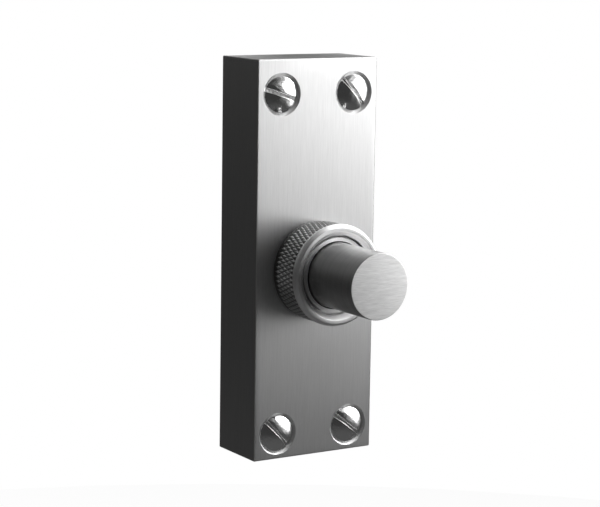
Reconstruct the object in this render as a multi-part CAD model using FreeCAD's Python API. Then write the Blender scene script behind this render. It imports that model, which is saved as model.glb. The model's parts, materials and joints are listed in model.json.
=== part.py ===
import FreeCAD, Part
import math
import os

from FreeCAD import Vector

# A bell push for a door frame: a thick upright bar of satin metal with a long round button that
# slides in a threaded barrel, a tall diamond-knurled collar screwed onto that barrel, and a small
# two-contact switch in a pocket behind. The middle of the bar's back is the origin, the wall lies
# in the plane y = 0, the button points along -y and is pressed along +y, and +z is up.
# All lengths are millimetres.

# Face plate
plate_width = 26.3
plate_height = 76.0
plate_depth = 13.1
plate_edge_radius = 0.25

# The button's axis and the four fixing screws sit below the middle of the plate by these drops
button_drop = 2.0
fixing_drop = 0.85

# Fixing screws: slotted wood screws with raised countersunk heads, sunk a little into the plate
fixing_inset_x = 5.2
fixing_inset_z = 5.75
fixing_length = 19.05
fixing_shank_radius = 2.08
fixing_hole_clearance = 0.17
fixing_plain_length = 6.4
fixing_core_radius = 1.5
fixing_straight_length = 1.6
fixing_point_length = 4.0
fixing_head_radius = 3.67
fixing_head_sink = 0.4
fixing_head_rise = 1.3
fixing_slot_width = 0.8
fixing_slot_depth = 1.6
fixing_slot_turns = {"top_left": 17.0, "top_right": 49.0, "bottom_left": 47.0, "bottom_right": 38.0}

# Barrel: the threaded tube that the button slides in, with a flat head behind the plate
barrel_radius = 7.2
barrel_rise = 6.4
barrel_mouth_bevel = 0.1
barrel_rim_bevel_length = 0.2
barrel_rim_bevel_width = 0.1
barrel_flange_width = 2.2
barrel_head_thickness = 1.2
barrel_notch_width = 2.4
barrel_notch_depth = 1.0
barrel_hole_clearance = 0.1
thread_clearance = 0.02

# Lock washer under the barrel's head, with half-round notches round its rim
washer_thickness = 0.4
washer_notch_count = 10
washer_notch_radius = 0.7

# Knurled collar: a tall ring nut on the barrel, clamping the plate
collar_height = 8.4
collar_crest_radius = 9.55
collar_foot_length = 0.5
collar_nose_length = 1.2
collar_nose_radius = 9.64
collar_bevel_length = 0.75
collar_lip_outer_radius = 9.08
collar_lip_inner_radius = 8.5
collar_recess_radius = 7.55
collar_inner_bevel_depth = 0.5
collar_recess_depth = 2.5

# Diamond knurl: two crossing sets of helical grooves, counted round the collar, and in half
# pitches along it
knurl_depth = 0.26
knurl_count = 66
knurl_half_rows = 6

# Push button: a plain rod with a flat end, a hollow hub behind, and a blind hole for its spring
button_radius = 6.2
button_reach = 21.7
button_edge_bevel = 0.25
button_running_clearance = 0.1
button_travel = 2.0
hub_radius = 3.9
hub_end_length = 0.4
hub_groove_depth = 0.3
hub_fit_clearance = 0.05
spring_hole_radius = 3.0
spring_hole_depth = 11.0

# Pieces stacked on the hub, from the button backwards
sleeve_thickness = 0.8
sleeve_overhang = 0.2
sleeve_neck_wall = 0.45
bridge_thickness = 0.6
bridge_overhang = 0.2
bridge_clearance = 0.05
stack_washer_radius = 5.2
stack_washer_thickness = 0.5
clip_radius = 4.9
clip_thickness = 0.5
clip_side_play = 0.03
clip_opening = 3.2

# Return spring between the bottom of the button's hole and the contact base
spring_wire_radius = 0.25
spring_coil_radius = 2.5
spring_half_turns = 11
spring_end_gap = 0.05

# Contact base: a moulded bridge over the mechanism, standing on two feet in the pocket
base_thickness = 2.2
base_foot_height = 7.0
base_foot_clearance = 1.1
base_side_clearance = 0.25
base_corner_radius = 1.5
base_well_side_clearance = 0.3
base_well_end_clearance = 0.3
base_peg_radius = 1.9
base_peg_length = 5.0
base_hole_clearance = 0.05

# Fixed contacts: two riveted studs that the bridge meets when the button is pressed
stud_well_wall = 0.45
stud_head_radius = 1.1
stud_crown_radius = 0.77
stud_head_height = 0.7
stud_bevel_height = 0.35
stud_shank_radius = 0.8
stud_tail_radius = 1.15
stud_tail_height = 0.35
contact_clearance = 0.02

# Terminal strips with their screws and clamping washers
strip_width = 3.6
strip_thickness = 0.5
terminal_washer_side = 4.4
terminal_washer_corner = 0.55
terminal_washer_thickness = 0.4
terminal_screw_radius = 1.5
terminal_screw_length = 6.0
terminal_screw_turns = {"left": 25.0, "right": 105.0}

# Screws that hold the contact base to the front wall of the pocket
base_screw_offset = 4.5
base_screw_radius = 1.25
base_screw_grip = 1.9
base_screw_turns = {"upper": 70.0, "lower": 15.0}

# Heads of the small screws
small_head_radius = 2.1
small_head_height = 1.05
small_head_bevel = 0.3
small_point_bevel = 0.35
small_slot_width = 0.7
small_slot_depth = 0.5

# Pocket in the back for the switch, centred on the button's axis
pocket_side_clearance = 0.35
pocket_wire_space = 6.5
pocket_corner_radius = 4.0
wall_clearance = 0.25

# How far cutting shapes run past the faces they open
overcut = 1.0

# Sizes that follow from the fits
fixing_pitch_x = plate_width - 2 * fixing_inset_x
fixing_pitch_z = plate_height - 2 * fixing_inset_z
barrel_bore_radius = button_radius + button_running_clearance
barrel_hole_radius = barrel_radius + barrel_hole_clearance
barrel_head_radius = barrel_radius + barrel_flange_width
pocket_width = 2 * (barrel_head_radius + pocket_side_clearance)
base_width = pocket_width - 2 * base_side_clearance
base_clear_height = 2 * (barrel_head_radius + base_foot_clearance)
base_height = base_clear_height + 2 * base_foot_height
pocket_height = base_height + 2 * pocket_wire_space
base_well_radius = clip_radius + base_well_side_clearance
terminal_height = (base_height - base_foot_height) / 2
terminal_hole_radius = terminal_screw_radius + base_hole_clearance
stud_hole_radius = stud_shank_radius + base_hole_clearance
stud_offset = base_well_radius + stud_well_wall + stud_hole_radius
bridge_radius = stud_offset + stud_head_radius + bridge_overhang
sleeve_radius = bridge_radius + sleeve_overhang
sleeve_bore_radius = hub_radius + hub_fit_clearance
sleeve_neck_radius = sleeve_bore_radius + sleeve_neck_wall

# Places along y, from the wall forwards to the pocket's floor
terminal_washer_back_y = -wall_clearance - small_head_height
strip_back_y = terminal_washer_back_y - terminal_washer_thickness
base_back_y = strip_back_y - strip_thickness
base_front_y = base_back_y - base_thickness
contact_y = base_front_y - stud_head_height
bridge_back_y = contact_y - contact_clearance - button_travel
sleeve_back_y = bridge_back_y - bridge_thickness
hub_front_y = sleeve_back_y - sleeve_thickness
barrel_head_front_y = hub_front_y - barrel_head_thickness
pocket_floor_y = barrel_head_front_y - washer_thickness
front_y = -plate_depth

# Places along y on the button's hub and in front of the plate
stack_washer_back_y = bridge_back_y + stack_washer_thickness
hub_groove_back_y = stack_washer_back_y + clip_thickness + 2 * clip_side_play
hub_back_y = hub_groove_back_y + hub_end_length
well_floor_y = hub_back_y + button_travel + base_well_end_clearance
spring_front_y = hub_front_y - spring_hole_depth
collar_lip_y = front_y - collar_height
button_tip_y = front_y - button_reach
fixing_head_y = front_y + fixing_head_sink

Y_AXIS = Vector(0, 1, 0)
ORIGIN = Vector(0, 0, 0)
BUTTON_AXIS = Vector(0, 0, -button_drop)


def turned(outline, centre=BUTTON_AXIS):
    """A solid of revolution about the line through centre along y.

    The outline is a closed list of (radius, y) corners.
    """
    corners = [Vector(radius, y, 0) for radius, y in outline]
    section = Part.Face(Part.makePolygon(corners + corners[:1]))
    solid = section.revolve(ORIGIN, Y_AXIS, 360)
    solid.translate(centre)
    return solid


def rod(radius, y_from, y_to, centre=BUTTON_AXIS):
    """A round bar along y."""
    return Part.makeCylinder(radius, y_to - y_from, centre + Vector(0, y_from, 0), Y_AXIS)


def flat_ring(inner_radius, outer_radius, y_from, y_to):
    """A plain washer on the button's axis."""
    return rod(outer_radius, y_from, y_to).cut(rod(inner_radius, y_from - overcut, y_to + overcut))


def block(width, height, y_from, y_to, centre=BUTTON_AXIS):
    """A rectangular block centred on the line through centre along y."""
    corner = centre + Vector(-width / 2, y_from, -height / 2)
    return Part.makeBox(width, y_to - y_from, height, corner)


def edges_along_y(solid):
    """The straight edges of a solid that run along y."""
    return [e for e in solid.Edges if abs(e.tangentAt(e.FirstParameter).y) > 0.999]


def rounded_block(width, height, y_from, y_to, corner_radius):
    """A block on the button's axis whose four edges along y are rounded."""
    solid = block(width, height, y_from, y_to)
    return solid.makeFillet(corner_radius, edges_along_y(solid))


def slot_bar(width, y_from, y_to, head_radius, turn, centre):
    """The bar that cuts a screwdriver slot across a head.

    turn is the slot's angle below the horizontal, seen from the front.
    """
    bar = block(2 * (head_radius + overcut), width, y_from, y_to, ORIGIN)
    bar.rotate(ORIGIN, Y_AXIS, turn)
    bar.translate(centre)
    return bar


def fixing_centres():
    """Name and centre line of each fixing screw."""
    centres = {}
    for row, side_z in (("top", 1), ("bottom", -1)):
        for column, side_x in (("left", -1), ("right", 1)):
            x = side_x * fixing_pitch_x / 2
            z = side_z * fixing_pitch_z / 2 - fixing_drop
            centres[f"{row}_{column}"] = Vector(x, 0, z)
    return centres


def stud_centres():
    """Name and centre line of each contact stud."""
    offset = Vector(stud_offset, 0, 0)
    return {"left": BUTTON_AXIS - offset, "right": BUTTON_AXIS + offset}


def terminal_centres():
    """Name and centre line of each terminal screw: one above its stud and one below."""
    rise = Vector(0, 0, terminal_height)
    studs = stud_centres()
    return {"left": studs["left"] + rise, "right": studs["right"] - rise}


def base_screw_centres():
    """Name and centre line of each screw that holds the contact base, across from the terminals."""
    offset = Vector(base_screw_offset, 0, terminal_height)
    return {"upper": BUTTON_AXIS + offset, "lower": BUTTON_AXIS - offset}


def make_plate():
    """The bar with its pocket, its hole for the barrel, four countersinks and two tapped holes."""
    solid = block(plate_width, plate_height, front_y, 0, ORIGIN)
    soft_edges = edges_along_y(solid)
    soft_edges += [e for e in solid.Edges if e.BoundBox.YMax < front_y + plate_edge_radius]
    solid = solid.makeFillet(plate_edge_radius, soft_edges)
    cutters = [rounded_block(pocket_width, pocket_height, pocket_floor_y, overcut, pocket_corner_radius)]
    cutters.append(rod(barrel_hole_radius, front_y - overcut, pocket_floor_y + overcut))
    cutters += [countersunk_hole(centre) for centre in fixing_centres().values()]
    tip_y = pocket_floor_y - base_screw_grip
    for centre in base_screw_centres().values():
        cutters.append(rod(base_screw_radius + thread_clearance, tip_y, pocket_floor_y + overcut, centre))
    return solid.cut(cutters)


def countersunk_hole(centre):
    """The space a fixing screw takes in the plate: a straight hole and a right-angled countersink."""
    hole_radius = fixing_shank_radius + fixing_hole_clearance
    mouth_y = front_y - overcut
    mouth_radius = fixing_head_radius + fixing_head_y - mouth_y
    return turned([
        (0, mouth_y),
        (mouth_radius, mouth_y),
        (hole_radius, mouth_y + mouth_radius - hole_radius),
        (hole_radius, overcut),
        (0, overcut),
    ], centre)


def make_fixing_screw(centre, slot_turn):
    """A wood screw: domed and slotted head, plain shank, and the tapered core of its threaded end."""
    neck_y = fixing_head_y + fixing_head_radius - fixing_shank_radius
    thread_y = fixing_head_y + fixing_plain_length
    tip_y = fixing_head_y + fixing_length
    point_y = tip_y - fixing_point_length
    crown_y = fixing_head_y - fixing_head_rise
    ball_radius = (fixing_head_radius**2 + fixing_head_rise**2) / (2 * fixing_head_rise)
    half_angle = math.asin(fixing_head_radius / ball_radius) / 2
    half_drop = ball_radius * (1 - math.cos(half_angle))
    crown = Vector(0, crown_y, 0)
    shoulder = Vector(ball_radius * math.sin(half_angle), crown_y + half_drop, 0)
    rim = Vector(fixing_head_radius, fixing_head_y, 0)
    corners = [
        rim,
        Vector(fixing_shank_radius, neck_y, 0),
        Vector(fixing_shank_radius, thread_y, 0),
        Vector(fixing_core_radius, point_y - fixing_straight_length, 0),
        Vector(fixing_core_radius, point_y, 0),
        Vector(0, tip_y, 0),
        crown,
    ]
    edges = [Part.Arc(crown, shoulder, rim).toShape()]
    edges += [Part.makeLine(start, end) for start, end in zip(corners[:-1], corners[1:])]
    solid = Part.Face(Part.Wire(edges)).revolve(ORIGIN, Y_AXIS, 360)
    solid.translate(centre)
    slot_floor_y = crown_y + fixing_slot_depth
    slot = slot_bar(
        fixing_slot_width, crown_y - overcut, slot_floor_y, fixing_head_radius, slot_turn, centre
    )
    return solid.cut(slot)


def knurled_drum(y_from, y_to):
    """A solid drum covered with four-sided pyramids, one for each diamond of the knurl.

    The facets' corners lie on a grid of half pitches round and along the drum. Where step and row
    add up to an odd number the corner is the point of a diamond. Elsewhere, and on both ends of
    the drum, it lies at the bottom of the grooves.
    """
    steps = 2 * knurl_count
    row_length = (y_to - y_from) / knurl_half_rows

    def corner(step, row):
        is_point = (step + row) % 2 == 1 and 0 < row < knurl_half_rows
        radius = collar_crest_radius - (0 if is_point else knurl_depth)
        angle = 2 * math.pi * (step % steps) / steps
        return Vector(radius * math.sin(angle), y_from + row * row_length, radius * math.cos(angle))

    def facet(*corners):
        return Part.Face(Part.makePolygon(list(corners) + [corners[0]]))

    facets = []
    for row in range(knurl_half_rows):
        for step in range(steps):
            a, b = corner(step, row), corner(step + 1, row)
            c, d = corner(step + 1, row + 1), corner(step, row + 1)
            if (step + row) % 2 == 0:
                facets += [facet(a, b, c), facet(a, c, d)]
            else:
                facets += [facet(a, b, d), facet(b, c, d)]
    for row in (0, knurl_half_rows):
        facets.append(facet(*[corner(step, row) for step in range(steps)]))
    shell = Part.makeShell(facets)
    shell.sewShape()
    drum = Part.makeSolid(shell)
    if drum.Volume < 0:
        drum.reverse()
    drum.translate(BUTTON_AXIS)
    return drum


def make_collar():
    """The knurled ring nut: plain foot, knurled drum, bevelled nose, and a recessed threaded bore."""
    foot_y = front_y - collar_foot_length
    nose_y = collar_lip_y + collar_nose_length
    recess_floor_y = collar_lip_y + collar_recess_depth
    thread_radius = barrel_radius + thread_clearance
    foot = rod(collar_crest_radius - knurl_depth, foot_y, front_y)
    nose = turned([
        (0, nose_y),
        (collar_nose_radius, nose_y),
        (collar_nose_radius, collar_lip_y + collar_bevel_length),
        (collar_lip_outer_radius, collar_lip_y),
        (0, collar_lip_y),
    ])
    bore = turned([
        (0, collar_lip_y - overcut),
        (collar_lip_inner_radius, collar_lip_y - overcut),
        (collar_lip_inner_radius, collar_lip_y),
        (collar_recess_radius, collar_lip_y + collar_inner_bevel_depth),
        (collar_recess_radius, recess_floor_y),
        (thread_radius, recess_floor_y),
        (thread_radius, front_y + overcut),
        (0, front_y + overcut),
    ])
    return knurled_drum(nose_y, foot_y).fuse([foot, nose]).cut(bore)


def make_barrel():
    """The threaded tube, bevelled at its mouth, with a notched head that bears inside the pocket."""
    face_y = front_y - barrel_rise
    solid = turned([
        (barrel_bore_radius, hub_front_y),
        (barrel_head_radius, hub_front_y),
        (barrel_head_radius, barrel_head_front_y),
        (barrel_radius, barrel_head_front_y),
        (barrel_radius, face_y + barrel_rim_bevel_length),
        (barrel_radius - barrel_rim_bevel_width, face_y),
        (barrel_bore_radius + barrel_mouth_bevel, face_y),
        (barrel_bore_radius, face_y + barrel_mouth_bevel),
    ])
    y_from, y_to = barrel_head_front_y - overcut, hub_front_y + overcut
    for side_z in (-1, 1):
        rim = BUTTON_AXIS + Vector(0, 0, side_z * barrel_head_radius)
        solid = solid.cut(block(barrel_notch_width, 2 * barrel_notch_depth, y_from, y_to, rim))
    return solid


def make_lock_washer():
    """A flat steel washer with half-round notches that leave gripping teeth round its rim."""
    solid = flat_ring(barrel_hole_radius, barrel_head_radius, pocket_floor_y, barrel_head_front_y)
    y_from, y_to = pocket_floor_y - overcut, barrel_head_front_y + overcut
    for i in range(washer_notch_count):
        angle = 2 * math.pi * i / washer_notch_count
        rim = BUTTON_AXIS + Vector(math.cos(angle), 0, math.sin(angle)) * barrel_head_radius
        solid = solid.cut(rod(washer_notch_radius, y_from, y_to, rim))
    return solid


def make_button():
    """The rod with its flat end, its grooved hub and the blind hole for the spring."""
    groove_radius = hub_radius - hub_groove_depth
    return turned([
        (0, button_tip_y),
        (button_radius - button_edge_bevel, button_tip_y),
        (button_radius, button_tip_y + button_edge_bevel),
        (button_radius, hub_front_y),
        (hub_radius, hub_front_y),
        (hub_radius, stack_washer_back_y),
        (groove_radius, stack_washer_back_y),
        (groove_radius, hub_groove_back_y),
        (hub_radius, hub_groove_back_y),
        (hub_radius, hub_back_y),
        (spring_hole_radius, hub_back_y),
        (spring_hole_radius, spring_front_y),
        (0, spring_front_y),
    ])


def make_sleeve():
    """The insulating collar on the hub, whose flange stops the button against the barrel's head."""
    return turned([
        (sleeve_bore_radius, hub_front_y),
        (sleeve_radius, hub_front_y),
        (sleeve_radius, sleeve_back_y),
        (sleeve_neck_radius, sleeve_back_y),
        (sleeve_neck_radius, bridge_back_y),
        (sleeve_bore_radius, bridge_back_y),
    ])


def make_bridge():
    """The contact ring round the sleeve's neck, which joins the two studs when the button is in."""
    return flat_ring(sleeve_neck_radius + bridge_clearance, bridge_radius, sleeve_back_y, bridge_back_y)


def make_stack_washer():
    """The insulating washer that holds the contact ring on the sleeve."""
    return flat_ring(sleeve_bore_radius, stack_washer_radius, bridge_back_y, stack_washer_back_y)


def make_clip():
    """The open spring ring in the hub's groove."""
    y_from = stack_washer_back_y + clip_side_play
    y_to = y_from + clip_thickness
    ring = flat_ring(hub_radius - hub_groove_depth + thread_clearance, clip_radius, y_from, y_to)
    below = BUTTON_AXIS - Vector(0, 0, clip_radius)
    return ring.cut(block(clip_opening, clip_radius, y_from - overcut, y_to + overcut, below))


def make_spring():
    """A plain coil from the bottom of the button's hole to the floor of the contact base's well.

    Each half turn is a half circle in a tilted plane. All of them start and end along z, so that
    they run smoothly into each other.
    """
    y_first = spring_front_y + spring_wire_radius + spring_end_gap
    y_last = well_floor_y - spring_wire_radius - spring_end_gap
    rise = (y_last - y_first) / spring_half_turns
    half_turns = []
    for i in range(spring_half_turns):
        side = 1 if i % 2 == 0 else -1
        start = Vector(side * spring_coil_radius, y_first + i * rise, 0)
        to_middle = Vector(-side * spring_coil_radius, rise / 2, 0)
        heading = Vector(0, 0, -side)
        wire = Part.Face(Part.Wire(Part.makeCircle(spring_wire_radius, start, heading)))
        axis = heading.cross(to_middle)
        half_turns.append(wire.revolve(start + to_middle, axis, 180))
    coil = half_turns[0].fuse(half_turns[1:]).removeSplitter()
    coil.translate(BUTTON_AXIS)
    return coil


def make_contact_base():
    """The moulded bridge with its two feet, a well for the hub, a peg for the spring and its holes."""
    solid = rounded_block(base_width, base_height, pocket_floor_y, base_back_y, base_corner_radius)
    mouth_y = pocket_floor_y - overcut
    past_back_y = base_back_y + overcut
    arch = block(base_width + overcut, base_clear_height, mouth_y, base_front_y)
    well = rod(base_well_radius, base_front_y - overcut, well_floor_y)
    peg = rod(base_peg_radius, well_floor_y - base_peg_length, base_back_y)
    holes = []
    for centre in stud_centres().values():
        holes.append(rod(stud_hole_radius, mouth_y, past_back_y, centre))
    for centre in base_screw_centres().values():
        holes.append(rod(base_screw_radius + base_hole_clearance, mouth_y, past_back_y, centre))
    tip_y = terminal_washer_back_y - terminal_screw_length
    for centre in terminal_centres().values():
        holes.append(rod(terminal_screw_radius + thread_clearance, tip_y, past_back_y, centre))
    return solid.cut([arch, well]).fuse(peg).cut(holes).removeSplitter()


def make_stud(centre):
    """A riveted contact: bevelled head in front of the base, shank, and a closed-over tail."""
    return turned([
        (0, contact_y),
        (stud_crown_radius, contact_y),
        (stud_head_radius, contact_y + stud_bevel_height),
        (stud_head_radius, base_front_y),
        (stud_shank_radius, base_front_y),
        (stud_shank_radius, strip_back_y),
        (stud_tail_radius, strip_back_y),
        (stud_shank_radius, strip_back_y + stud_tail_height),
        (0, strip_back_y + stud_tail_height),
    ], centre)


def make_strip(stud, terminal):
    """The flat conductor from a contact stud to its terminal screw, round at both ends."""
    solid = block(strip_width, terminal_height, base_back_y, strip_back_y, (stud + terminal) * 0.5)
    ends = [rod(strip_width / 2, base_back_y, strip_back_y, end) for end in (stud, terminal)]
    holes = []
    y_from, y_to = base_back_y - overcut, strip_back_y + overcut
    for centre, radius in ((stud, stud_hole_radius), (terminal, terminal_hole_radius)):
        holes.append(rod(radius, y_from, y_to, centre))
    return solid.fuse(ends).cut(holes).removeSplitter()


def make_terminal_washer(centre):
    """The square clamping washer under a terminal screw's head."""
    side = terminal_washer_side
    solid = block(side, side, strip_back_y, terminal_washer_back_y, centre)
    solid = solid.makeChamfer(terminal_washer_corner, edges_along_y(solid))
    hole_y = strip_back_y - overcut
    return solid.cut(rod(terminal_hole_radius, hole_y, terminal_washer_back_y + overcut, centre))


def make_small_screw(centre, seat_y, radius, length, slot_turn):
    """A slotted screw whose head faces +y and whose shank runs towards -y from its seat."""
    tip_y = seat_y - length
    crown_y = seat_y + small_head_height
    solid = turned([
        (0, tip_y),
        (radius - small_point_bevel, tip_y),
        (radius, tip_y + small_point_bevel),
        (radius, seat_y),
        (small_head_radius, seat_y),
        (small_head_radius, crown_y - small_head_bevel),
        (small_head_radius - small_head_bevel, crown_y),
        (0, crown_y),
    ], centre)
    y_from, y_to = crown_y - small_slot_depth, crown_y + overcut
    return solid.cut(slot_bar(small_slot_width, y_from, y_to, small_head_radius, slot_turn, centre))


def make_pieces():
    """Every piece by name."""
    pieces = {
        "plate": make_plate(),
        "knurled_collar": make_collar(),
        "barrel": make_barrel(),
        "lock_washer": make_lock_washer(),
        "push_button": make_button(),
        "insulating_sleeve": make_sleeve(),
        "contact_bridge": make_bridge(),
        "insulating_washer": make_stack_washer(),
        "retaining_clip": make_clip(),
        "return_spring": make_spring(),
        "contact_base": make_contact_base(),
    }
    for name, centre in fixing_centres().items():
        pieces[f"fixing_screw_{name}"] = make_fixing_screw(centre, fixing_slot_turns[name])
    studs = stud_centres()
    for side, terminal in terminal_centres().items():
        pieces[f"contact_stud_{side}"] = make_stud(studs[side])
        pieces[f"terminal_strip_{side}"] = make_strip(studs[side], terminal)
        pieces[f"terminal_washer_{side}"] = make_terminal_washer(terminal)
        pieces[f"terminal_screw_{side}"] = make_small_screw(
            terminal, terminal_washer_back_y, terminal_screw_radius, terminal_screw_length,
            terminal_screw_turns[side],
        )
    base_screw_length = base_back_y - pocket_floor_y + base_screw_grip
    for place, centre in base_screw_centres().items():
        pieces[f"base_screw_{place}"] = make_small_screw(
            centre, base_back_y, base_screw_radius, base_screw_length, base_screw_turns[place]
        )
    return pieces


os.makedirs("parts", exist_ok=True)
for piece_name, piece in make_pieces().items():
    piece.exportStep(f"parts/{piece_name}.step")
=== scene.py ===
import json
import math

import bmesh
import bpy
import numpy as np
from mathutils import Matrix, Vector

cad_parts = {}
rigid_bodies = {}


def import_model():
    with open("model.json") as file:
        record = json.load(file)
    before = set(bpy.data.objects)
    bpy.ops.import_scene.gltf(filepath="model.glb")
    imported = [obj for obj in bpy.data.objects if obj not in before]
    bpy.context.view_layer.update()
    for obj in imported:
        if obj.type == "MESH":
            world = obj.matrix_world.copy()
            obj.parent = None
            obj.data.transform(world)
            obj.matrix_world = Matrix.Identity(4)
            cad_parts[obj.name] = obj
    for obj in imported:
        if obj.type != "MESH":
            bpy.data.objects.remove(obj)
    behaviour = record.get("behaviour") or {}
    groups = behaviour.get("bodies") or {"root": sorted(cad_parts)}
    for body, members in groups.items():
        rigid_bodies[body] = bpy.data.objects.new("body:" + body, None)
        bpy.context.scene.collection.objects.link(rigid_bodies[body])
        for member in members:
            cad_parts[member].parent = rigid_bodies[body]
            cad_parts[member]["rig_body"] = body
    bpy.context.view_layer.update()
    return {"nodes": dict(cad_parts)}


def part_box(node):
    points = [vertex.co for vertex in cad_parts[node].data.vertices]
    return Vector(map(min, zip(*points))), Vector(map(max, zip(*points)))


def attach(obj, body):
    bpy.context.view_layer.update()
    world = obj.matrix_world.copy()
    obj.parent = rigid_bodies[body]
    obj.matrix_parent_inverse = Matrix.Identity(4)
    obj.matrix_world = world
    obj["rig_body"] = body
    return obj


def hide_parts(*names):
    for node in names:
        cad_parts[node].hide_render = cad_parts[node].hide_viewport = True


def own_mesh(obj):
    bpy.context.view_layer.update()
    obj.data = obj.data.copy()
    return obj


# The dressed bell push: a thick brushed plate, a knurled collar, a long satin button, four polished
# slotted screws, and the switch behind. Lengths are metres. The button's axis runs along y.

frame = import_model()
nodes = frame["nodes"]
MM = 0.001


def node_range(name, axis):
    """Lowest and highest place of a CAD node along one axis (0, 1 or 2)."""
    low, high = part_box(name)
    return low[axis], high[axis]


# Places and sizes read from the frame
plate_front = node_range("plate", 1)[0]
plate_bottom = node_range("plate", 2)[0]
plate_right = node_range("plate", 0)[1]
lip, collar_back = node_range("knurled_collar", 1)
button_tip, button_back = node_range("push_button", 1)
button_low, button_high = node_range("push_button", 2)
button_radius = (button_high - button_low) / 2
axis_z = (button_high + button_low) / 2
spring_front, spring_back = node_range("return_spring", 1)
spring_low, spring_high = node_range("return_spring", 2)
sleeve_front = node_range("insulating_sleeve", 1)[0]

# Camera: fitted to the plate's corners, the screws and the button's end
camera_azimuth = math.radians(-31.992)
camera_elevation = math.radians(8.9)
camera_roll = math.radians(0.855)
camera_distance = 0.3952
camera_target = Vector((0.004657, 0.0, -0.001114))
camera_lens = 120.64

# Collar, and the barrel's end inside its mouth
knurl_count = 66
knurl_half_rows = 6
knurl_cells = 4
knurl_depth = 0.26 * MM
knurl_gain = 1.12
groove_flat = 0.04
crest_radius = 9.55 * MM
foot_length = 0.5 * MM
nose_length = 1.2 * MM
nose_radius = 9.64 * MM
bevel_length = 0.75 * MM
lip_outer_radius = 9.08 * MM
lip_inner_radius = 8.41 * MM
recess_radius = 7.54 * MM
inner_bevel_depth = 0.92 * MM
recess_depth = 2.5 * MM
collar_bore_radius = 7.22 * MM
barrel_bore_edge = 6.44 * MM
barrel_end_depth = 0.95 * MM
barrel_end_zone = 1.0 * MM

# Push button
tip_bevel = 0.12 * MM
hub_radius = 3.9 * MM
groove_radius = 3.6 * MM
groove_width = 0.56 * MM
hub_end_length = 0.4 * MM
spring_hole_radius = 3.0 * MM
spring_hole_depth = 11.0 * MM
button_steps = 240

# Fixing screws: slot turns are in degrees, the thread's half width is a share of its pitch
head_sink = 0.4 * MM
head_rise = 1.3 * MM
head_edge_rise = 0.3 * MM
slot_half_width = 0.4 * MM
slot_depth = 1.6 * MM
shank_radius = 2.08 * MM
core_radius = 1.5 * MM
plain_length = 6.4 * MM
straight_length = 1.6 * MM
point_length = 4.0 * MM
wood_thread_pitch = 1.75 * MM
thread_half_width = 0.27
slot_turns = {"top_left": 17.0, "top_right": 49.0, "bottom_left": 47.0, "bottom_right": 38.0}

# Return spring: the flatness says how much of the rise its last turns lose
spring_turns = 5.5
wire_radius = 0.25 * MM
end_flatness = 0.35

# Finishes and painted shade: the height of the painted shade in the knurl's grooves is a share of the
# knurl's depth
# The plate's painted shadow line along its right edge is this wide; its sides take this share of painted
# shade.
shadow_line_width = 0.2 * MM
side_shade_share = 0.45
groove_shade_height = 0.45
knurl_margin = 0.01 * MM
slot_edge_rounding = 0.12 * MM

# Brightness of the light tent's parts
least_glow = 0.045
sheet_glow = 7.4
wall_glow = 0.26
near_glow = 0.22
top_glow = 0.45
card_glow = 3.0
below_glow = 0.05


# Mesh building

def finish_mesh(name, points_and_faces, material, sharp_angle=35.0):
    """A mesh object from lists of point arrays and face arrays, merged where they meet.

    Edges that turn by more than sharp_angle degrees stay sharp.
    """
    points, faces, start = [], [], 0
    for part_points, part_faces in points_and_faces:
        points.append(part_points.reshape(-1, 3))
        faces += (part_faces + start).tolist()
        start += len(points[-1])
    mesh = bpy.data.meshes.new(name)
    mesh.from_pydata(np.concatenate(points).tolist(), [], faces)
    work = bmesh.new()
    work.from_mesh(mesh)
    bmesh.ops.remove_doubles(work, verts=work.verts, dist=1e-7)
    bmesh.ops.dissolve_degenerate(work, edges=work.edges, dist=1e-8)
    bmesh.ops.recalc_face_normals(work, faces=work.faces)
    work.to_mesh(mesh)
    work.free()
    mesh.shade_smooth()
    mesh.set_sharp_from_angle(angle=math.radians(sharp_angle))
    piece = bpy.data.objects.new(name, mesh)
    bpy.context.scene.collection.objects.link(piece)
    mesh.materials.append(material)
    return piece


def grid(points, closed=False):
    """The points and quads of a surface whose place is points[u, v].

    In a closed surface the last place of v joins the first.
    """
    rows, columns = points.shape[:2]
    index = np.arange(rows * columns).reshape(rows, columns)
    if closed:
        index = np.concatenate([index, index[:, :1]], axis=1)
    corners = [index[:-1, :-1], index[1:, :-1], index[1:, 1:], index[:-1, 1:]]
    return points, np.stack(corners, axis=-1).reshape(-1, 4)


def soften(corners, steps=5):
    """An outline of (radius, y, cut) corners with each corner rounded over the length cut.

    A rounded corner is the quadratic curve that leaves one side and joins the next at that length.
    """
    outline = []
    share = np.linspace(0, 1, steps)[:, None]
    for before, here, after in zip([corners[0]] + corners[:-1], corners, corners[1:] + [corners[-1]]):
        corner, cut = np.array(here[:2]), here[2]
        if cut == 0:
            outline.append(corner[None])
            continue
        ends = []
        for other in (before, after):
            way = np.array(other[:2]) - corner
            ends.append(corner + way / np.linalg.norm(way) * cut)
        start, end = ends
        outline.append((1 - share) ** 2 * start + 2 * share * (1 - share) * corner + share**2 * end)
    return np.concatenate(outline)


def turned(outline, steps, centre_z=axis_z):
    """Points of a surface of revolution about a line along y: (r sin a, y, centre_z + r cos a)."""
    angle = np.arange(steps) * 2 * math.pi / steps
    radius, y = outline[:, 0:1], outline[:, 1:2]
    x, z = radius * np.sin(angle), centre_z + radius * np.cos(angle)
    return np.stack(np.broadcast_arrays(x, y, z), axis=-1)


def merged_copy(node, material, reshape=None):
    """A smooth-shaded copy of a CAD node, its triangles joined, which stands for that node.

    The function reshape, where one is given, moves the copy's points.
    """
    source = nodes[node]
    points = np.zeros(len(source.data.vertices) * 3, np.float32)
    source.data.vertices.foreach_get("co", points)
    points = points.astype(float).reshape(-1, 3)
    if reshape:
        points = reshape(points)
    corners = np.zeros(len(source.data.polygons) * 3, np.int32)
    source.data.polygons.foreach_get("vertices", corners)
    parts = [(points, corners.reshape(-1, 3))]
    piece = finish_mesh(f"{node}_dressed", parts, material, sharp_angle=30.0)
    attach(piece, source["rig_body"])
    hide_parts(node)


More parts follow.
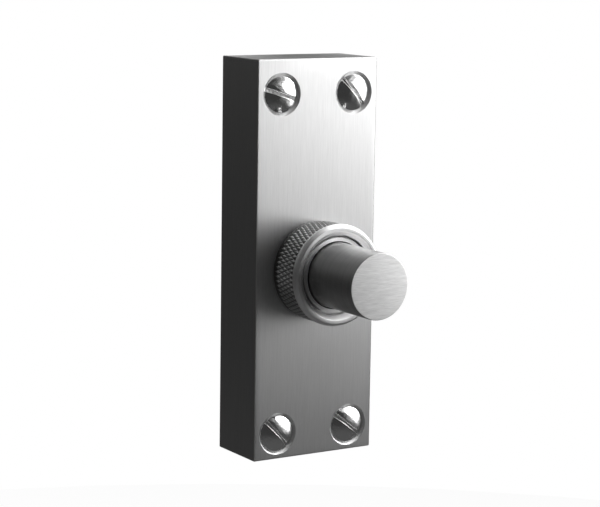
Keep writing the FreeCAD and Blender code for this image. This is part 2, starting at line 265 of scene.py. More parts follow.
# Shader node helpers

def add(tree, kind, **settings):
    """A new node with its properties set."""
    node = tree.nodes.new(kind)
    for key, value in settings.items():
        setattr(node, key, value)
    return node


def bare_material(name):
    """A node material with nothing in it yet, and its node tree."""
    material = bpy.data.materials.new(name)
    material.use_nodes = True
    material.node_tree.nodes.clear()
    return material, material.node_tree


def show(tree, surface, kind="ShaderNodeOutputMaterial"):
    """Joins a shader to the tree's output."""
    tree.links.new(surface, add(tree, kind).inputs["Surface"])


def new_material(name):
    """A node material and its Principled BSDF."""
    material, tree = bare_material(name)
    shader = add(tree, "ShaderNodeBsdfPrincipled")
    show(tree, shader.outputs["BSDF"])
    return material, tree, shader


def maths(tree, operation, first, second=None, third=None, clamp=False):
    """The output of a Math node whose inputs are sockets or numbers."""
    node = add(tree, "ShaderNodeMath", operation=operation, use_clamp=clamp)
    for socket, value in zip(node.inputs, (first, second, third)):
        if isinstance(value, bpy.types.NodeSocket):
            tree.links.new(value, socket)
        elif value is not None:
            socket.default_value = value
    return node.outputs[0]


def blend(tree, share, first, second):
    """The output of a colour Mix node between two sockets or colours."""
    node = add(tree, "ShaderNodeMix", data_type="RGBA")
    sockets = (node.inputs[0], node.inputs[6], node.inputs[7])
    for socket, value in zip(sockets, (share, first, second)):
        if isinstance(value, bpy.types.NodeSocket):
            tree.links.new(value, socket)
        else:
            socket.default_value = value
    return node.outputs[2]


def spread(tree, value, low, high):
    """A 0 to 1 value spread over the range from low to high."""
    node = add(tree, "ShaderNodeMapRange")
    tree.links.new(value, node.inputs["Value"])
    node.inputs["To Min"].default_value = low
    node.inputs["To Max"].default_value = high
    return node.outputs["Result"]


def bump(tree, height, shader, distance, strength=1.0, rounding=0.0):
    """Feeds a height to the shader's normal, over edges that are shaded as if rounded."""
    node = add(tree, "ShaderNodeBump")
    if rounding:
        edges = add(tree, "ShaderNodeBevel", samples=8)
        edges.inputs["Radius"].default_value = rounding
        tree.links.new(edges.outputs["Normal"], node.inputs["Normal"])
    node.inputs["Distance"].default_value = distance
    node.inputs["Strength"].default_value = strength
    tree.links.new(height, node.inputs["Height"])
    tree.links.new(node.outputs["Normal"], shader.inputs["Normal"])


def new_group(name, outputs):
    """A shader node group with one vector input and float outputs."""
    group = bpy.data.node_groups.new(name, "ShaderNodeTree")
    group.interface.new_socket("Vector", in_out="INPUT", socket_type="NodeSocketVector")
    for socket_name in outputs:
        group.interface.new_socket(socket_name, in_out="OUTPUT", socket_type="NodeSocketFloat")
    return group, group.nodes.new("NodeGroupInput"), group.nodes.new("NodeGroupOutput")


def noise(tree, vector, scale, detail=2.0, roughness=0.5):
    """The value of a noise texture."""
    node = add(tree, "ShaderNodeTexNoise")
    node.inputs["Scale"].default_value = scale
    node.inputs["Detail"].default_value = detail
    node.inputs["Roughness"].default_value = roughness
    tree.links.new(vector, node.inputs["Vector"])
    return node.outputs["Fac"]


def scaled(tree, vector, factors):
    """A vector multiplied by three factors."""
    node = add(tree, "ShaderNodeVectorMath", operation="MULTIPLY")
    tree.links.new(vector, node.inputs[0])
    node.inputs[1].default_value = factors
    return node.outputs["Vector"]


def split(tree, vector):
    """The three coordinates of a vector."""
    parts = add(tree, "ShaderNodeSeparateXYZ")
    tree.links.new(vector, parts.inputs[0])
    return parts.outputs["X"], parts.outputs["Y"], parts.outputs["Z"]


def joined(tree, x=None, y=None, z=None):
    """A vector made from sockets, 0 where none is given."""
    node = add(tree, "ShaderNodeCombineXYZ")
    for name, value in zip("XYZ", (x, y, z)):
        if value is not None:
            tree.links.new(value, node.inputs[name])
    return node.outputs[0]


def radius_of(tree, x, z):
    """The distance of the place (x, z) from 0."""
    return maths(tree, "SQRT", maths(tree, "MULTIPLY_ADD", z, z, maths(tree, "MULTIPLY", x, x)))


def sharpened(tree, value, gain):
    """A value drawn away from 0.5 by the gain, and kept between 0 and 1."""
    return maths(tree, "MULTIPLY_ADD", maths(tree, "SUBTRACT", value, 0.5), gain, 0.5, clamp=True)


def grey(value):
    """An opaque grey."""
    return value, value, value, 1


def build_brush_group():
    """Fine and broad streaks that run along the third coordinate, all in strokes per metre.

    Streaks is the colour mask, from 0 to 1. Height is the relief of the finest scratches.
    """
    group, entry, leave = new_group("brush_streaks", ["Streaks", "Height"])
    vector = entry.outputs["Vector"]
    fine = noise(group, scaled(group, vector, (9000, 9000, 260)), 1.0, 3.0, 0.6)
    middle = noise(group, scaled(group, vector, (3600, 3600, 90)), 1.0, 2.0)
    broad = noise(group, scaled(group, vector, (420, 420, 30)), 1.0, 1.0)
    mixed = maths(group, "MULTIPLY_ADD", middle, 0.35, maths(group, "MULTIPLY", fine, 0.6))
    mixed = maths(group, "MULTIPLY_ADD", broad, 0.05, mixed)
    group.links.new(sharpened(group, mixed, 2.6), leave.inputs["Streaks"])
    group.links.new(maths(group, "MULTIPLY_ADD", middle, 0.5, fine), leave.inputs["Height"])
    return group


def build_handling_group():
    """Soft cloudy patches of the size of a fingertip, from 0 to 1, for an uneven shine."""
    group, entry, leave = new_group("handling_marks", ["Patches"])
    patches = noise(group, entry.outputs["Vector"], 130.0, 3.0, 0.55)
    group.links.new(sharpened(group, patches, 2.2), leave.inputs["Patches"])
    return group


def build_turning_group():
    """Rings left by a lathe about the button's axis.

    The vector has its middle on the axis. Its radius, its place along the axis and its turn, at
    6 mm to the radian, are what the noise is read from. Rings is the colour mask, from 0 to 1, and
    Height is their relief.
    """
    group, entry, leave = new_group("turning_rings", ["Rings", "Height"])
    x, y, z = split(group, entry.outputs["Vector"])
    turn = maths(group, "MULTIPLY", maths(group, "ARCTAN2", x, z), 0.006)
    unrolled = joined(group, radius_of(group, x, z), y, turn)
    fine = noise(group, scaled(group, unrolled, (9000, 9000, 60)), 1.0, 2.0, 0.6)
    broad = noise(group, scaled(group, unrolled, (1500, 1500, 60)), 1.0, 1.0)
    mixed = maths(group, "MULTIPLY_ADD", broad, 0.45, maths(group, "MULTIPLY", fine, 0.55))
    group.links.new(sharpened(group, mixed, 2.6), leave.inputs["Rings"])
    group.links.new(fine, leave.inputs["Height"])
    return group


brush_streaks = build_brush_group()
handling_marks = build_handling_group()
turning_rings = build_turning_group()


def place(tree, group, vector):
    """A copy of a node group in a material, fed with a vector."""
    node = add(tree, "ShaderNodeGroup", node_tree=group)
    tree.links.new(vector, node.inputs["Vector"])
    return node


def own_place(tree):
    """Object coordinates."""
    return add(tree, "ShaderNodeTexCoord").outputs["Object"]


def centred(tree):
    """Object coordinates with their middle on the button's axis."""
    mapping = add(tree, "ShaderNodeMapping")
    mapping.inputs["Location"].default_value = (0, 0, -axis_z)
    tree.links.new(own_place(tree), mapping.inputs["Vector"])
    return mapping.outputs["Vector"]


def recolour(tree, shader, share, colour):
    """Mixes a colour into the shader's base colour by a share."""
    base = shader.inputs["Base Color"]
    tree.links.new(blend(tree, share, base.links[0].from_socket, colour), base)


# Materials

def satin_plate():
    """Satin metal brushed up and down.

    It has painted shade on the four narrow sides, which are darker, and a painted shadow, a thin
    near-black line, along its right front edge.
    """
    material, tree, shader = new_material("satin_plate")
    vector = own_place(tree)
    brush = place(tree, brush_streaks, vector)
    marks = place(tree, handling_marks, vector)
    geometry = add(tree, "ShaderNodeNewGeometry")
    _, facing, _ = split(tree, geometry.outputs["True Normal"])
    x, y, _ = split(tree, vector)
    sides = maths(tree, "LESS_THAN", maths(tree, "ABSOLUTE", facing), 0.5)
    at_right = maths(tree, "GREATER_THAN", x, plate_right - shadow_line_width)
    at_front = maths(tree, "LESS_THAN", y, plate_front + shadow_line_width)
    tone = blend(tree, brush.outputs["Streaks"], grey(0.73), grey(0.83))
    tree.links.new(tone, shader.inputs["Base Color"])
    # Painted shade: the four narrow sides are darkened.
    recolour(tree, shader, maths(tree, "MULTIPLY", sides, side_shade_share), grey(0.1))
    # Painted shadow: a near-black line along the right front edge.
    recolour(tree, shader, maths(tree, "MULTIPLY", at_right, at_front), grey(0.06))
    shader.inputs["Metallic"].default_value = 1.0
    rough = spread(tree, brush.outputs["Streaks"], 0.48, 0.42)
    rough = maths(tree, "MULTIPLY_ADD", marks.outputs["Patches"], 0.04, rough)
    tree.links.new(rough, shader.inputs["Roughness"])
    shader.inputs["Anisotropic"].default_value = 0.62
    across = add(tree, "ShaderNodeVectorMath", operation="CROSS_PRODUCT")
    across.inputs[0].default_value = (0, 0.02, 1)
    tree.links.new(geometry.outputs["Normal"], across.inputs[1])
    tree.links.new(across.outputs["Vector"], shader.inputs["Tangent"])
    bump(tree, brush.outputs["Height"], shader, 0.012 * MM, 0.5)
    return material


def turned_metal(name, base, rough):
    """Bright turned metal with lathe rings round the button's axis."""
    material, tree, shader = new_material(name)
    rings = place(tree, turning_rings, centred(tree))
    marks = place(tree, handling_marks, own_place(tree))
    tone = blend(tree, rings.outputs["Rings"], grey(base * 0.86), grey(base))
    tree.links.new(tone, shader.inputs["Base Color"])
    shader.inputs["Metallic"].default_value = 1.0
    roughness = spread(tree, rings.outputs["Rings"], rough + 0.05, rough)
    roughness = maths(tree, "MULTIPLY_ADD", marks.outputs["Patches"], 0.04, roughness)
    tree.links.new(roughness, shader.inputs["Roughness"])
    bump(tree, rings.outputs["Height"], shader, 0.008 * MM, 0.35)
    return material, tree, shader


def about_axis(tree):
    """The distance from the button's axis, and the place along it."""
    x, y, z = split(tree, centred(tree))
    return radius_of(tree, x, z), y


def collar_finish():
    """Turned metal whose knurl has painted shade: it is darker all over, and darkest at the bottom of the
    grooves.
    """
    material, tree, shader = turned_metal("turned_collar", 0.95, 0.37)
    radius, y = about_axis(tree)
    root_radius = crest_radius - knurl_depth
    groove_shade_fade = add(tree, "ShaderNodeMapRange")
    tree.links.new(radius, groove_shade_fade.inputs["Value"])
    groove_shade_fade.inputs["From Min"].default_value = root_radius
    groove_shade_fade.inputs["From Max"].default_value = root_radius + knurl_depth * groove_shade_height
    knurl_shade_tone = blend(tree, groove_shade_fade.outputs["Result"], grey(0.17), grey(0.56))
    behind = maths(tree, "GREATER_THAN", y, lip + nose_length + knurl_margin)
    outside = maths(tree, "GREATER_THAN", radius, root_radius - knurl_margin)
    # Painted shade: the knurl is darkened, most of all at the bottom of its grooves.
    recolour(tree, shader, maths(tree, "MULTIPLY", behind, outside), knurl_shade_tone)
    return material


def barrel_finish():
    """Turned metal with painted shade, near black, in its bore and at the bore's mouth."""
    material, tree, shader = turned_metal("turned_barrel", 0.95, 0.4)
    radius, _ = about_axis(tree)
    # Painted shade: near black in the bore and at its mouth.
    recolour(tree, shader, maths(tree, "LESS_THAN", radius, barrel_bore_edge), grey(0.02))
    return material


def satin_button():
    """Satin metal: the end is brushed across, the side is turned and has painted shade, a darker colour
    than the end.
    """
    material, tree, shader = new_material("satin_button")
    vector = centred(tree)
    x, y, z = split(tree, vector)
    wave = noise(tree, scaled(tree, vector, (260, 0, 700)), 1.0, 1.0)
    wavy_z = maths(tree, "MULTIPLY_ADD", wave, 0.5 * MM, z)
    across = place(tree, brush_streaks, scaled(tree, joined(tree, wavy_z, y, x), (0.55, 0.55, 2.5)))
    rings = place(tree, turning_rings, vector)
    _, facing, _ = split(tree, add(tree, "ShaderNodeNewGeometry").outputs["True Normal"])
    end = maths(tree, "LESS_THAN", facing, -0.9)
    streaks = blend(tree, across.outputs["Streaks"], grey(0.66), grey(0.87))
    # Painted shade: the side is coloured darker than the end.
    side = blend(tree, rings.outputs["Rings"], grey(0.38), grey(0.46))
    tree.links.new(blend(tree, end, side, streaks), shader.inputs["Base Color"])
    shader.inputs["Metallic"].default_value = 1.0
    tree.links.new(spread(tree, end, 0.42, 0.56), shader.inputs["Roughness"])
    shader.inputs["Anisotropic"].default_value = 0.4
    along = joined(tree, y=maths(tree, "SUBTRACT", 1.0, end), z=end)
    tree.links.new(along, shader.inputs["Tangent"])
    relief = add(tree, "ShaderNodeMix", data_type="FLOAT")
    tree.links.new(end, relief.inputs[0])
    tree.links.new(maths(tree, "MULTIPLY", rings.outputs["Height"], 0.4), relief.inputs[2])
    tree.links.new(across.outputs["Height"], relief.inputs[3])
    bump(tree, relief.outputs[0], shader, 0.02 * MM, 0.6)
    return material


def plain_metal(name, colour, rough, shine, dents=0.0):
    """Plated or polished metal with faint uneven patches, and dents of a given height in metres."""
    material, tree, shader = new_material(name)
    vector = own_place(tree)
    marks = place(tree, handling_marks, vector)
    dull = tuple(c * shine for c in colour)
    tone = blend(tree, marks.outputs["Patches"], dull + (1,), colour + (1,))
    tree.links.new(tone, shader.inputs["Base Color"])
    shader.inputs["Metallic"].default_value = 1.0
    tree.links.new(spread(tree, marks.outputs["Patches"], rough * 1.6, rough), shader.inputs["Roughness"])
    if dents:
        bump(tree, noise(tree, vector, 1100.0, 2.0), shader, dents, rounding=slot_edge_rounding)
    return material


def moulded(name, dark, light, rough):
    """Moulded or pressed insulation with a fine grain."""
    material, tree, shader = new_material(name)
    vector = own_place(tree)
    grain = noise(tree, vector, 2600.0, 3.0, 0.6)
    marks = place(tree, handling_marks, vector)
    mask = maths(tree, "MULTIPLY_ADD", grain, 0.5, maths(tree, "MULTIPLY", marks.outputs["Patches"], 0.5))
    tree.links.new(blend(tree, mask, dark + (1,), light + (1,)), shader.inputs["Base Color"])
    tree.links.new(spread(tree, mask, rough, rough + 0.15), shader.inputs["Roughness"])
    bump(tree, grain, shader, 0.02 * MM, 0.4)
    return material


plate_metal = satin_plate()
collar_metal = collar_finish()
barrel_metal = barrel_finish()
button_metal = satin_button()
screw_metal = plain_metal("polished_screw", (0.82, 0.82, 0.82), 0.1, 0.92, 0.07 * MM)
zinc = plain_metal("zinc_plate", (0.66, 0.68, 0.71), 0.26, 0.8)
spring_wire = plain_metal("spring_wire", (0.5, 0.51, 0.53), 0.25, 0.8)
brass = plain_metal("contact_brass", (0.8, 0.62, 0.3), 0.24, 0.82)
phenolic = moulded("dark_phenolic", (0.035, 0.02, 0.014), (0.075, 0.042, 0.03), 0.3)
red_fibre = moulded("red_fibre", (0.24, 0.055, 0.035), (0.42, 0.11, 0.07), 0.55)


# Knurled collar

def make_collar():
    """The collar's outline turned about the axis, and a drum of four-sided pyramids between its ends.

    On the drum p counts half pitches round and q along. A pyramid stands wherever p + q is odd,
    apart from the drum's two ends, and at (p, q) its height is 1 less the distance in p and in q
    from its point. The radius is root + depth * height, with the points and grooves a little flat.
    Each cell of the grid is split along the groove or ridge that crosses it.
    """
    nose = lip + nose_length
    foot = collar_back - foot_length
    root_radius = crest_radius - knurl_depth
    cells = knurl_cells
    steps = 2 * knurl_count * cells
    rows = knurl_half_rows * cells
    body = soften([
        (root_radius, foot, 0),
        (root_radius, collar_back, 0),
        (collar_bore_radius, collar_back, 0),
        (collar_bore_radius, lip + recess_depth, 0),
        (recess_radius, lip + recess_depth, 0.08 * MM),
        (recess_radius, lip + inner_bevel_depth, 0.06 * MM),
        (lip_inner_radius, lip, 0.07 * MM),
        (lip_outer_radius, lip, 0.1 * MM),
        (nose_radius, lip + bevel_length, 0.12 * MM),
        (nose_radius, nose, 0.06 * MM),
        (root_radius, nose, 0),
    ])
    p = np.arange(steps)[None, :] / cells
    q = np.arange(rows + 1)[:, None] / cells
    odd_row = 2 * np.round((q - 1) / 2) + 1
    even_row = np.clip(2 * np.round(q / 2), 2, knurl_half_rows - 2)
    on_odd_row = 1 - np.abs(q - odd_row) - np.abs(p - 2 * np.round(p / 2))
    on_even_row = 1 - np.abs(q - even_row) - np.abs(p - 2 * np.round((p - 1) / 2) - 1)
    height = np.clip(knurl_gain * np.maximum(on_odd_row, on_even_row) - groove_flat, 0, 1)
    angle = np.arange(steps) * 2 * math.pi / steps
    radius = root_radius + knurl_depth * height
    drum_y = nose + (foot - nose) * np.broadcast_to(q, radius.shape) / knurl_half_rows
    drum = np.stack([radius * np.sin(angle), drum_y, axis_z + radius * np.cos(angle)], axis=-1)
    drum_points, quads = grid(drum, closed=True)
    middle_p, middle_q = np.meshgrid(np.arange(steps) // cells, np.arange(rows) // cells)
    even = ((middle_p + middle_q) % 2 == 0).reshape(-1)
    triangles = np.concatenate([
        quads[even][:, [0, 1, 2]], quads[even][:, [0, 2, 3]],
        quads[~even][:, [0, 1, 3]], quads[~even][:, [1, 2, 3]],
    ])
    parts = [grid(turned(body, steps), closed=True), (drum_points, triangles)]
    piece = finish_mesh("collar_knurled", parts, collar_metal, sharp_angle=20.0)
    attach(piece, "housing")
    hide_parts("knurled_collar")


# Barrel

def longer_barrel(points):
    """The barrel with its end just below the collar's lip: the points of its end, moved forwards."""
    end = points[:, 1].min()
    moved = points.copy()
    moved[points[:, 1] < end + barrel_end_zone, 1] += lip + barrel_end_depth - end
    return moved


# Push button

def make_button():
    """The button's outline, from the middle of its end round to the bottom of the spring's hole."""
    groove_back = button_back - hub_end_length
    outline = soften([
        (0, button_tip, 0),
        (button_radius - tip_bevel, button_tip, 0.04 * MM),
        (button_radius, button_tip + tip_bevel, 0.08 * MM),
        (button_radius, sleeve_front, 0.1 * MM),
        (hub_radius, sleeve_front, 0),
        (hub_radius, groove_back - groove_width, 0),
        (groove_radius, groove_back - groove_width, 0),
        (groove_radius, groove_back, 0),
        (hub_radius, groove_back, 0),
        (hub_radius, button_back, 0.08 * MM),
        (spring_hole_radius, button_back, 0.08 * MM),
        (spring_hole_radius, sleeve_front - spring_hole_depth, 0),
        (0, sleeve_front - spring_hole_depth, 0),
    ])
    parts = [grid(turned(outline, button_steps), closed=True)]
    piece = finish_mesh("button_rod", parts, button_metal, sharp_angle=32.0)
    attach(piece, "button")
    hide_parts("push_button")


# Fixing screws

def make_fixing_screw(name, turn):
    """A slotted wood screw as four sorts of surface, in coordinates s across the slot, y, and t along it.

    Each half of the head is a surface of revolution cut by the slot's wall: at radius r it spans
    the angles whose sine is at least half the slot's width over r. The walls are flat and run from
    the dome down to the slot's floor or the cone, whichever is nearer. The floor's rows bend from
    straight to the cone's round. Everything deeper is one turned body, whose radius carries a
    helical ridge.
    """
    low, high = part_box(f"fixing_screw_{name}")
    centre = np.array([(low[0] + high[0]) / 2, 0, (low[2] + high[2]) / 2])
    rim_radius = (high[0] - low[0]) / 2
    rim_y = plate_front + head_sink
    crown_y = rim_y - head_rise
    floor_y = crown_y + slot_depth
    tip_y = high[1]
    floor_radius = rim_radius - (floor_y - rim_y)
    dome_rise = head_rise - head_edge_rise
    ball = (floor_radius**2 + dome_rise**2) / (2 * dome_rise)
    half = slot_half_width

    def dome(radius):
        """The y of the head's top: the cap of a ball out to floor_radius, and a bevel beyond it."""
        share = np.clip((radius - floor_radius) / (rim_radius - floor_radius), 0, 1)
        inside = np.minimum(radius, floor_radius)
        return crown_y + ball - np.sqrt(ball**2 - inside**2) + head_edge_rise * share

    inner = half / np.sin(np.linspace(math.pi / 2, math.asin(half / floor_radius), 14))
    outer = np.linspace(floor_radius, rim_radius, 5)[1:]
    dome_radius = np.concatenate([inner, outer])
    cone_radius = np.concatenate([outer[-2::-1], [floor_radius]])
    skin_radius = np.concatenate([dome_radius, cone_radius])
    skin_y = np.concatenate([dome(dome_radius), rim_y + rim_radius - cone_radius])
    columns = 49
    share = np.linspace(0, 1, columns)
    parts = []

    def half_angles(radius):
        """The angles of one half of the head, from one wall of the slot round to the other."""
        least = np.arcsin(np.clip(half / radius, 0, 1))
        return least + (math.pi - 2 * least) * share

    angles = half_angles(skin_radius[:, None])
    reach = np.sqrt(np.maximum(dome_radius**2 - half**2, 0))
    wall_top = dome(dome_radius)
    wall_foot = np.where(dome_radius <= floor_radius, floor_y, rim_y + rim_radius - dome_radius)
    t_wall = np.concatenate([-reach[::-1], reach[1:]])
    top = np.concatenate([wall_top[::-1], wall_top[1:]])
    foot = np.concatenate([wall_foot[::-1], wall_foot[1:]])
    down = np.linspace(0, 1, 4)[:, None]
    for side in (1, -1):
        skin = np.stack([
            side * skin_radius[:, None] * np.sin(angles),
            np.broadcast_to(skin_y[:, None], angles.shape),
            skin_radius[:, None] * np.cos(angles),
        ], axis=-1)
        parts.append(grid(skin))
        y = top + (foot - top) * down
        flat = np.stack([np.full(y.shape, side * half), y, np.broadcast_to(t_wall, y.shape)], axis=-1)
        parts.append(grid(flat))
    across = np.linspace(-half, half, 5)
    inside = reach[dome_radius <= floor_radius]
    t_floor = np.concatenate([-inside[::-1], inside[1:]])
    stretch = np.sqrt(floor_radius**2 - across**2) / math.sqrt(floor_radius**2 - half**2)
    t = t_floor[:, None] * stretch[None, :]
    floor = np.stack([np.broadcast_to(across, t.shape), np.full(t.shape, floor_y), t], axis=-1)
    parts.append(grid(floor))

    side_angles = half_angles(floor_radius)
    end_angles = np.arcsin(across[1:-1] / floor_radius)
    angle = np.sort(np.concatenate([
        side_angles, math.pi - end_angles, 2 * math.pi - side_angles, 2 * math.pi + end_angles,
    ]))
    thread_y = rim_y + plain_length
    neck_y = rim_y + rim_radius - shank_radius
    point_y = tip_y - point_length
    body_y = np.concatenate([
        np.linspace(floor_y, neck_y, 4), np.linspace(neck_y, thread_y, 10)[1:],
        np.linspace(thread_y, tip_y, 127)[1:],
    ])
    core = np.interp(
        body_y,
        [floor_y, neck_y, thread_y, point_y - straight_length, point_y, tip_y],
        [floor_radius, shank_radius, shank_radius, core_radius, core_radius, 0],
    )
    crest = np.interp(
        body_y, [thread_y, point_y - straight_length, point_y, tip_y],
        [0, shank_radius - core_radius, shank_radius - core_radius, 0],
    )
    phase = (body_y[:, None] / wood_thread_pitch - angle[None, :] / (2 * math.pi)) % 1 - 0.5
    ridge = np.maximum(0, 1 - np.abs(phase) / thread_half_width)
    radius = core[:, None] + crest[:, None] * ridge
    body = np.stack([
        radius * np.sin(angle), np.broadcast_to(body_y[:, None], radius.shape), radius * np.cos(angle)
    ], axis=-1)
    parts.append(grid(body, closed=True))

    turn = math.radians(turn)
    across_way = np.array([math.sin(turn), 0, math.cos(turn)])
    along_way = np.array([math.cos(turn), 0, -math.sin(turn)])
    placed = []
    for points, faces in parts:
        s, y, t = points[..., 0:1], points[..., 1:2], points[..., 2:3]
        placed.append((centre + s * across_way + t * along_way + y * np.array([0, 1, 0]), faces))
    piece = finish_mesh(f"wood_screw_{name}", placed, screw_metal, sharp_angle=30.0)
    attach(piece, "housing")
    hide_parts(f"fixing_screw_{name}")


# Return spring

def make_spring():
    """A round wire along a helix whose ends lie flat.

    The middle line is (R sin a, y, R cos a), and y rises by share - flatness sin(4 pi share) / 4 pi.
    The wire's circle is spanned by the outward direction and by the one square to both that and
    the line. The first and the last circle are points, which closes the wire.
    """
    coil_radius = (spring_high - spring_low) / 2 - wire_radius
    steps, sides = 400, 14
    share = np.linspace(0, 1, steps)
    angle = math.pi / 2 + 2 * math.pi * spring_turns * share
    rise = share - np.sin(4 * math.pi * share) / (4 * math.pi) * end_flatness
    y = spring_front + wire_radius + rise * (spring_back - spring_front - 2 * wire_radius)
    line = np.stack([coil_radius * np.sin(angle), y, axis_z + coil_radius * np.cos(angle)], axis=-1)
    outward = np.stack([np.sin(angle), np.zeros(steps), np.cos(angle)], axis=-1)
    along = np.gradient(line, axis=0)
    square = np.cross(along, outward)
    square /= np.linalg.norm(square, axis=1, keepdims=True)
    circle = np.arange(sides) * 2 * math.pi / sides
    taper = np.ones(steps)
    taper[[0, -1]] = 0
    reach = wire_radius * taper[:, None, None]
    points = line[:, None] + reach * (
        np.cos(circle)[None, :, None] * outward[:, None] + np.sin(circle)[None, :, None] * square[:, None])
    piece = finish_mesh("coil_spring", [grid(points, closed=True)], spring_wire, sharp_angle=60.0)
    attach(piece, "housing")
    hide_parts("return_spring")
    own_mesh(piece)


# Studio

def make_camera():
    """The camera at the photograph's place."""
    back = Vector((
        math.sin(camera_azimuth) * math.cos(camera_elevation),
        -math.cos(camera_azimuth) * math.cos(camera_elevation),
        math.sin(camera_elevation),
    ))
    right = Vector((0, 0, 1)).cross(back).normalized()
    up = back.cross(right)
    turn_cos, turn_sin = math.cos(camera_roll), math.sin(camera_roll)
    right, up = turn_cos * right + turn_sin * up, turn_cos * up - turn_sin * right
    data = bpy.data.cameras.new("camera")
    data.lens = camera_lens
    data.clip_start = 0.01
    camera = bpy.data.objects.new("camera", data)
    bpy.context.scene.collection.objects.link(camera)
    rotation = Matrix((right, up, back)).transposed().to_4x4()
    camera.matrix_world = Matrix.Translation(camera_target + back * camera_distance) @ rotation
    bpy.context.scene.camera = camera


def make_tent():
    """A round light tent about the object, which only reflections and soft light see.

    A bright sheet hangs at the right, from the front to the side and over to the back, and fades
    at its four edges. The wall at the right is dim beyond it, and a little brighter near it. A
    small card shines from above at the right. The top and the bottom glow faintly.
    """
    radius = 0.2
    steps = 48
    angle = np.linspace(0, math.pi, steps // 2 + 1)
    outline = np.stack([radius * np.sin(angle), -radius * np.cos(angle)], axis=-1)
    material, tree = bare_material("tent_glow")
    way = add(tree, "ShaderNodeVectorMath", operation="NORMALIZE")
    tree.links.new(own_place(tree), way.inputs[0])

    def edge(direction, low, high):
        """0 to 1 as the way towards the tent leans from low to high along a direction."""
        node = add(tree, "ShaderNodeVectorMath", operation="DOT_PRODUCT")
        tree.links.new(way.outputs["Vector"], node.inputs[0])
        node.inputs[1].default_value = Vector(direction).normalized()
        fade = add(tree, "ShaderNodeMapRange", interpolation_type="SMOOTHSTEP")
        tree.links.new(node.outputs["Value"], fade.inputs["Value"])
        fade.inputs["From Min"].default_value = low
        fade.inputs["From Max"].default_value = high
        return fade.outputs["Result"]

    above_bottom = edge((0, 0, 1), -0.55, 0.2)
    sheet = maths(tree, "MULTIPLY", edge((0.557, 0.663, 0.501), -0.3, 0.4), above_bottom)
    sheet = maths(tree, "MULTIPLY", sheet, edge((-0.208, -0.978, 0.1), -0.2, 0.12))
    sheet = maths(tree, "MULTIPLY", sheet, edge((0, 0, -1), -0.8, -0.4))
    wall = maths(tree, "MULTIPLY", edge((1, 0, 0), 0.1, 0.5), above_bottom)
    near = maths(tree, "MULTIPLY", edge((0.935, 0.098, 0.342), 0.6, 0.9), above_bottom)
    top = edge((0.2, 0.1, 0.97), 0.7, 1.0)
    card = edge((0.55, 0.06, 0.833), 0.91, 0.98)
    below = edge((0, 0, -1), 0.2, 0.8)
    glow = least_glow
    for part, strength in (
        (sheet, sheet_glow),
        (wall, wall_glow),
        (near, near_glow),
        (top, top_glow),
        (card, card_glow),
        (below, below_glow),
    ):
        glow = maths(tree, "MULTIPLY_ADD", part, strength, glow)
    emission = add(tree, "ShaderNodeEmission")
    tree.links.new(glow, emission.inputs["Color"])
    emission.inputs["Strength"].default_value = 1.0
    show(tree, emission.outputs[0])
    parts = [grid(turned(outline, steps, centre_z=0), closed=True)]
    tent = finish_mesh("light_tent", parts, material, sharp_angle=180.0)
    tent.visible_camera = False
    tent.visible_shadow = False


def seen_directly(tree):
    """1 for rays from the camera, in reflections and through glass, and 0 for soft light."""
    path = add(tree, "ShaderNodeLightPath")
    seen = maths(tree, "MAXIMUM", path.outputs["Is Camera Ray"], path.outputs["Is Glossy Ray"])
    return maths(tree, "MAXIMUM", seen, path.outputs["Is Transmission Ray"])


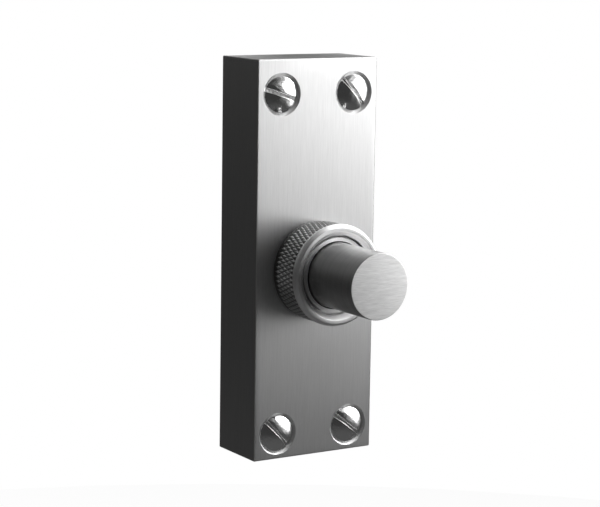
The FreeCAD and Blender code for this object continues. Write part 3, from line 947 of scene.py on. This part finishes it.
def make_floor():
    """A pale round floor well below the object, which keeps its shadow."""
    depth = 0.175
    radius = 0.6
    white_share = 0.86
    steps = 64
    rings = np.linspace(0, radius, 6)
    angle = np.arange(steps) * 2 * math.pi / steps
    points = np.stack([
        rings[:, None] * np.cos(angle), rings[:, None] * np.sin(angle),
        np.full((len(rings), len(angle)), plate_bottom - depth),
    ], axis=-1)
    material, tree = bare_material("pale_floor")
    matt = add(tree, "ShaderNodeBsdfDiffuse")
    matt.inputs["Color"].default_value = grey(0.9)
    white = add(tree, "ShaderNodeEmission")
    mix = add(tree, "ShaderNodeMixShader")
    tree.links.new(maths(tree, "MULTIPLY", seen_directly(tree), white_share), mix.inputs[0])
    tree.links.new(matt.outputs[0], mix.inputs[1])
    tree.links.new(white.outputs[0], mix.inputs[2])
    show(tree, mix.outputs[0])
    floor = finish_mesh("pale_floor", [grid(points, closed=True)], material)


def make_world():
    """A white surround for the camera and for reflections, and a dim one for the rest."""
    world = bpy.data.worlds.new("studio")
    bpy.context.scene.world = world
    world.use_nodes = True
    tree = world.node_tree
    tree.nodes.clear()
    background = add(tree, "ShaderNodeBackground")
    background.inputs["Color"].default_value = grey(1.0)
    tree.links.new(spread(tree, seen_directly(tree), 0.5, 1.0), background.inputs["Strength"])
    show(tree, background.outputs[0], "ShaderNodeOutputWorld")


def make_lamp(name, place_at, size, power):
    """A large soft lamp that faces the object."""
    data = bpy.data.lights.new(name, "AREA")
    data.shape = "DISK"
    data.size = size
    data.energy = power
    lamp = bpy.data.objects.new(name, data)
    bpy.context.scene.collection.objects.link(lamp)
    facing = Vector(place_at).to_track_quat("Z", "Y").to_matrix().to_4x4()
    lamp.matrix_world = Matrix.Translation(place_at) @ facing
    lamp.visible_glossy = False


# Assembly

merged_copy("plate", plate_metal)
merged_copy("barrel", barrel_metal, longer_barrel)
make_collar()
make_button()
for screw_name, screw_turn in slot_turns.items():
    make_fixing_screw(screw_name, screw_turn)
make_spring()

finishes = {
    "lock_washer": zinc,
    "contact_base": phenolic,
    "insulating_sleeve": red_fibre,
    "insulating_washer": red_fibre,
    "retaining_clip": spring_wire,
    "contact_bridge": brass,
}
for node_name in nodes:
    if node_name.startswith(("terminal_", "contact_stud")):
        finishes[node_name] = brass
    elif node_name.startswith("base_screw"):
        finishes[node_name] = zinc
for node_name, finish in finishes.items():
    merged_copy(node_name, finish)

make_camera()
make_world()
make_tent()
make_floor()
make_lamp("key_lamp", (0.45, -0.5, 0.6), size=0.5, power=6.0)
make_lamp("back_lamp", (-0.3, 0.6, 0.35), size=0.5, power=3.0)
bpy.context.scene.view_settings.view_transform = "Standard"
